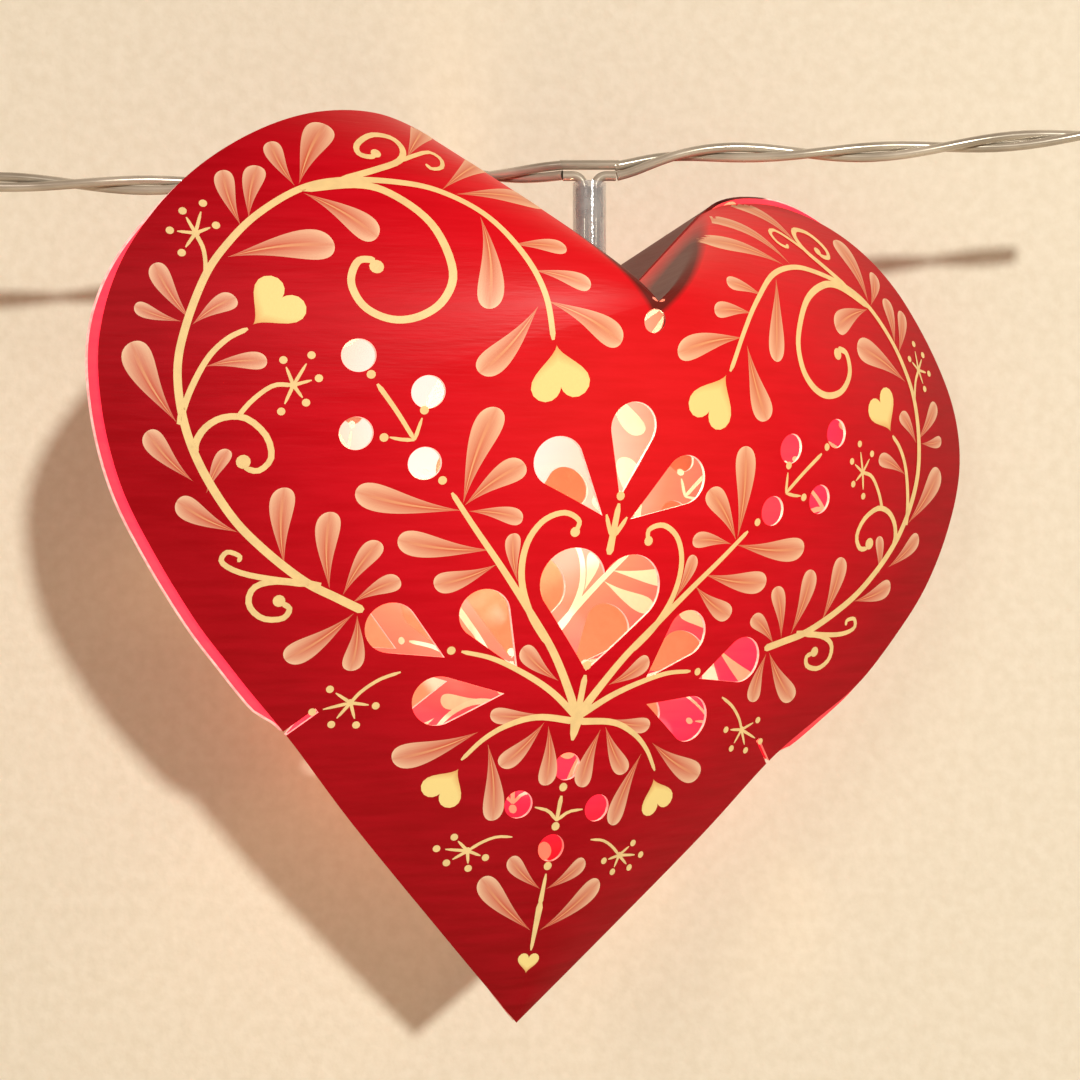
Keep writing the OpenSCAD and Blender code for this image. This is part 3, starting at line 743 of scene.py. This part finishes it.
class Print:
    """A sheet's print in the making: patches of ink pressed onto one face of it."""

    def __init__(self, side, skin, inside):
        self.bm = bmesh.new()
        self.uv = self.bm.loops.layers.uv.new("print")
        self.side = side
        self.skin = skin
        self.inside = inside
        self.flip = 1

    def press(self, x, z, lift):
        """Where a point of the flat sheet comes to lie on the bent one, or None beside the sheet."""
        toward = 1 if self.side == "front" else -1
        start = Vector((self.flip * x, -60 * toward, z))
        hit, normal, _, _ = self.skin.ray_cast(start, Vector((0, toward, 0)))
        if hit is None:
            return None
        return hit - (SHEET + lift) * normal if self.inside else hit + lift * normal

    def patch(self, along, across, place, ink, lift):
        """A patch of ink. place turns (s, t), both 0 to 1, into a point of the flat sheet."""
        grid = bmesh.ops.create_grid(self.bm, x_segments=along, y_segments=across, size=0.5)["verts"]
        faces = {f for v in grid for f in v.link_faces}
        off = []
        spots = {v: (v.co.x + 0.5, v.co.y + 0.5) for v in grid}
        for f in faces:
            f.material_index = ink
            for loop in f.loops:
                loop[self.uv].uv = spots[loop.vert]
        for v in grid:
            x, z = place(*spots[v])
            seat = self.press(x, z, lift)
            if seat is None:
                off.append(v)
            else:
                v.co = seat
        bmesh.ops.remove_doubles(self.bm, verts=[v for v in grid if v not in off], dist=0.002)
        if off:
            bmesh.ops.delete(self.bm, geom=off, context="VERTS")

    def stroke(self, start, end, points):
        """A brush stroke that goes from one width to the other, with round ends."""
        line = [Vector(p) for p in points]
        reach = sum((b - a).length for a, b in zip(line, line[1:]))
        last = len(line) - 1

        def place(s, t):
            spot = s * last
            at = curve_point(line, spot)
            ahead = curve_point(line, min(spot + 0.05, last)) - curve_point(line, max(spot - 0.05, 0))
            side = Vector((-ahead.y, ahead.x)).normalized()
            tip = min(1.0, (0.06 + min(s, 1 - s) * reach) / STROKE_END)
            wide = STEM_BRUSH * (start + (end - start) * s) * math.sqrt(tip * (2 - tip))
            return at + side * wide * (t - 0.5)

        self.patch(max(4, round(reach / 0.7)), 2, place, STEM_INK, 0.07)

    def leaf(self, root, tip, half):
        """A brushed leaf: it swells from a fine root to a round tip, and bends a little."""
        root, tip = Vector(root), Vector(tip)
        ahead = tip - root
        side = Vector((-ahead.y, ahead.x)).normalized()

        def place(s, t):
            s = math.sin(s * math.pi / 2)
            wide = 1.48 * s ** 1.25 * math.sqrt(max(0.0, 1 - s ** 5))
            return root + ahead * s + side * half * (wide * (2 * t - 1) + 0.25 * math.sin(math.pi * s))

        self.patch(18, 6, place, LEAF_INK, 0.04)

    def dot(self, x, z, r):
        """A round dot of stem ink."""

        def place(s, t):
            return Vector((x + r * t * math.cos(2 * math.pi * s), z + r * t * math.sin(2 * math.pi * s)))

        self.patch(12, 1, place, STEM_INK, 0.08)

    def heart(self, point, notch, width):
        """A small heart on its point. Its curve is drawn 32 wide, with the point 17 below the middle."""
        point, notch = Vector(point), Vector(notch)
        up = (notch - point).normalized()
        right = Vector((up.y, -up.x))
        size = width / 32
        middle = point + up * 17 * size

        def place(s, t):
            a = 2 * math.pi * s
            x = 16 * math.sin(a) ** 3
            z = 13 * math.cos(a) - 5 * math.cos(2 * a) - 2 * math.cos(3 * a) - math.cos(4 * a)
            return middle + size * t * (right * x + up * z)

        self.patch(32, 4, place, HEART_INK, 0.06)

    def star(self, centre, ends):
        """A dot with thin rays, and a dot beyond the end of each."""
        self.dot(*centre, STAR_DOT_R)
        for end in ends:
            reach = Vector(end) - Vector(centre)
            stop = Vector(centre) + reach * 0.72
            self.stroke(0.55, 0.35, (centre, (Vector(centre) + stop) / 2, stop))
            self.dot(*end, STAR_DOT_R)


def printed(name, side, skin, inks, inside=False):
    """The whole print of one face: the left half, its mirror image and what stands on the ridge."""
    job = Print(side, skin, inside)
    for job.flip in (1, -1):
        for root, tip, half in leaves:
            job.leaf(root, tip, half)
        for start, end, points in stems:
            job.stroke(start, end, points)
        for x, z in dots:
            job.dot(x, z, DOT_R)
        for x, z, r in blobs:
            job.dot(x, z, r)
        for centre, ends in stars:
            job.star(centre, ends)
        for point, notch, width in hearts:
            job.heart(point, notch, width)
    for start, end, points in middle_stems:
        job.stroke(start, end, points)
    for x, z in middle_dots:
        job.dot(x, z, MIDDLE_DOT_R)
    for point, notch, width in middle_hearts:
        job.heart(point, notch, width)
    bm = job.bm
    bm.normal_update()
    outward = -1 if side == "front" else 1
    if inside:
        outward = -outward
    bmesh.ops.reverse_faces(bm, faces=[f for f in bm.faces if f.normal.y * outward < 0])
    piece = finish_mesh(name, bm, inks, place=HANG)
    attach(piece, "shade")
    return piece


def ink_place(m):
    """The place in a stroke as a vector, and its parts: along in X and across in Y, both 0 to 1."""
    spot = add_node(m, "ShaderNodeUVMap", {"uv_map": "print"})
    return spot.outputs["UV"], add_node(m, "ShaderNodeSeparateXYZ", Vector=spot.outputs["UV"])


def brushed_leaf(m, root, tip, vein):
    """Ink brushed thin and reddish at the root and full at the tip, with streaks and a paler vein."""
    uv, part = ink_place(m)
    comb = add_node(m, "ShaderNodeMapping", Vector=uv, Scale=(1.5, 14, 1))
    streak = add_node(m, "ShaderNodeTexNoise", Vector=comb.outputs["Vector"], Scale=1.5, Detail=3)
    off = calc(m, "ABSOLUTE", calc(m, "SUBTRACT", part.outputs["Y"], 0.5))
    full = calc(m, "MULTIPLY_ADD", off, 1.2, part.outputs["X"])
    body = calc(m, "MULTIPLY_ADD", streak.outputs["Fac"], 0.35, full)
    span = add_node(m, "ShaderNodeMapRange", Value=body, From_Min=0.5, From_Max=1.7)
    shades = ramp(m, span.outputs["Result"], (0, root), (1, tip))
    line = add_node(m, "ShaderNodeMapRange", Value=off, From_Min=0.08, From_Max=0.02)
    fade = add_node(m, "ShaderNodeMapRange", Value=part.outputs["X"], From_Min=0.75, From_Max=0.2,
                    To_Max=0.8)
    along_vein = calc(m, "MULTIPLY", line.outputs["Result"], fade.outputs["Result"])
    join(m, blend(m, along_vein, shades, vein), "Base Color")


def shaded_heart(m, point, body):
    """Ink of the small hearts, darker towards the point."""
    _, part = ink_place(m)
    turn = calc(m, "PINGPONG", part.outputs["X"], 0.5)
    low = calc(m, "MULTIPLY", turn, part.outputs["Y"])
    join(m, ramp(m, low, (0.22, body), (0.48, point)), "Base Color")


def ink(name, colour, centre, shades, strength):
    """Ink with a painted glow for the lamp's light through it: shades gives its colour at so many mm from the
    centre.
    """
    m = node_material(name, colour, 0.5)
    uneven(m, [c * 0.88 for c in colour], colour, 0.0016, 0.0003, 0.15)
    glow(m, centre, shades, strength)
    return m


# The inks' painted glow of the lamp: warm on the outer prints, and brighter on the prints seen from inside.
warm = ((16, (0.55, 0.20, 0.06)), (35, (0.35, 0.10, 0.03)), (60, (0.08, 0.02, 0.01)), (84, (0.0, 0.0, 0.0)))
leaf_ink = ink("leaf_ink", (0.86, 0.60, 0.40), LAMP_AT, warm, 0.45)
brushed_leaf(leaf_ink, (0.50, 0.05, 0.02), (0.82, 0.61, 0.40), (0.80, 0.50, 0.24))
stem_ink = ink("stem_ink", (0.80, 0.62, 0.28), LAMP_AT, warm, 0.45)
heart_ink = ink("heart_ink", (0.82, 0.68, 0.26), LAMP_AT, warm, 0.45)
shaded_heart(heart_ink, (0.66, 0.30, 0.08), (0.82, 0.68, 0.26))
through = ((16, (1.0, 0.66, 0.46)), (30, (1.0, 0.42, 0.26)), (44, (1.0, 0.30, 0.14)), (60, (0.9, 0.14, 0.08)))
leaf_through = ink("leaf_ink_inside", (0.8, 0.5, 0.4), GLOW_AT, through, 1.0)
stem_through = ink("stem_ink_inside", (0.85, 0.6, 0.5), GLOW_AT, through, 1.0)
outer_inks = [leaf_ink, stem_ink, heart_ink]
inner_inks = [leaf_through, stem_through, stem_through]
printed("front_print", "front", front_skin, outer_inks)
printed("back_print", "back", back_skin, outer_inks)
printed("front_print_inside", "front", front_skin, inner_inks, inside=True)
printed("back_print_inside", "back", back_skin, inner_inks, inside=True)


# The wall, floor and light. The wall is plain cream plaster 40 mm behind the string. From behind, both
# it and the floor can be seen through.
WALL_Y = 40.02
FLOOR_Z = -500
ROOM = 1500
plaster = node_material("plaster", (0.80, 0.74, 0.60), 0.8)
uneven(plaster, (0.775, 0.715, 0.575), (0.825, 0.77, 0.635), 0.002, 0.0013, 1.0)
nodes, links = plaster.node_tree.nodes, plaster.node_tree.links
behind = nodes.new("ShaderNodeNewGeometry")
clear = nodes.new("ShaderNodeBsdfTransparent")
mix = nodes.new("ShaderNodeMixShader")
links.new(behind.outputs["Backfacing"], mix.inputs["Fac"])
links.new(nodes["Principled BSDF"].outputs["BSDF"], mix.inputs[1])
links.new(clear.outputs["BSDF"], mix.inputs[2])
links.new(mix.outputs["Shader"], nodes["Material Output"].inputs["Surface"])
bm = bmesh.new()
wall = bmesh.ops.create_grid(bm, x_segments=1, y_segments=1, size=ROOM)["verts"]
bmesh.ops.rotate(bm, cent=(0, 0, 0), matrix=Matrix.Rotation(math.pi / 2, 3, "X"), verts=wall)
bmesh.ops.translate(bm, vec=(0, WALL_Y, FLOOR_Z + ROOM), verts=wall)
ground = bmesh.ops.create_grid(bm, x_segments=1, y_segments=1, size=ROOM)["verts"]
bmesh.ops.translate(bm, vec=(0, WALL_Y - ROOM, FLOOR_Z), verts=ground)
backdrop = finish_mesh("backdrop", bm, [plaster], smooth=False)


def soft_light(name, at, aim, size, watts, colour):
    """A round area light at a place, turned towards another."""
    data = bpy.data.lights.new(name, "AREA")
    data.shape = "DISK"
    data.size = size
    data.energy = watts
    data.color = colour
    lamp = bpy.data.objects.new(name, data)
    lamp.location = at
    lamp.rotation_euler = (Vector(aim) - Vector(at)).to_track_quat("-Z", "Y").to_euler()
    bpy.context.collection.objects.link(lamp)
    return lamp


# The key light is small, up on the right, so its shadows are crisp. The fill is broad and dim. The bulb
# is the LED's light inside the shade, and the spill is the red that the shade's back throws on the wall.
soft_light("key", (0.36, -1.0, 0.24), (0, 0, -0.05), 0.055, 9.2, (1.0, 0.99, 0.92))
soft_light("fill", (-0.35, -0.7, 0.28), (-0.03, 0, -0.03), 0.25, 0.7, (1.0, 0.90, 0.84))
bulb = bpy.data.lights.new("bulb", "POINT")
bulb.energy = 0.04
bulb.color = (1.0, 0.7, 0.4)
bulb.shadow_soft_size = 0.002
bulb_object = bpy.data.objects.new("bulb", bulb)
bulb_object.location = (0, 0, -0.033)
bpy.context.collection.objects.link(bulb_object)
spill = soft_light("spill", (-0.012, 0.0295, -0.055), (-0.012, 0.04, -0.055), 0.07, 0.014,
                   (1.0, 0.2, 0.07))
spill.visible_camera = False
world = bpy.data.worlds.new("world")
world.use_nodes = True
world.node_tree.nodes["Background"].inputs["Color"].default_value = (1.0, 0.60, 0.43, 1)
world.node_tree.nodes["Background"].inputs["Strength"].default_value = 0.26
bpy.context.scene.world = world
bpy.context.scene.view_settings.view_transform = "Standard"
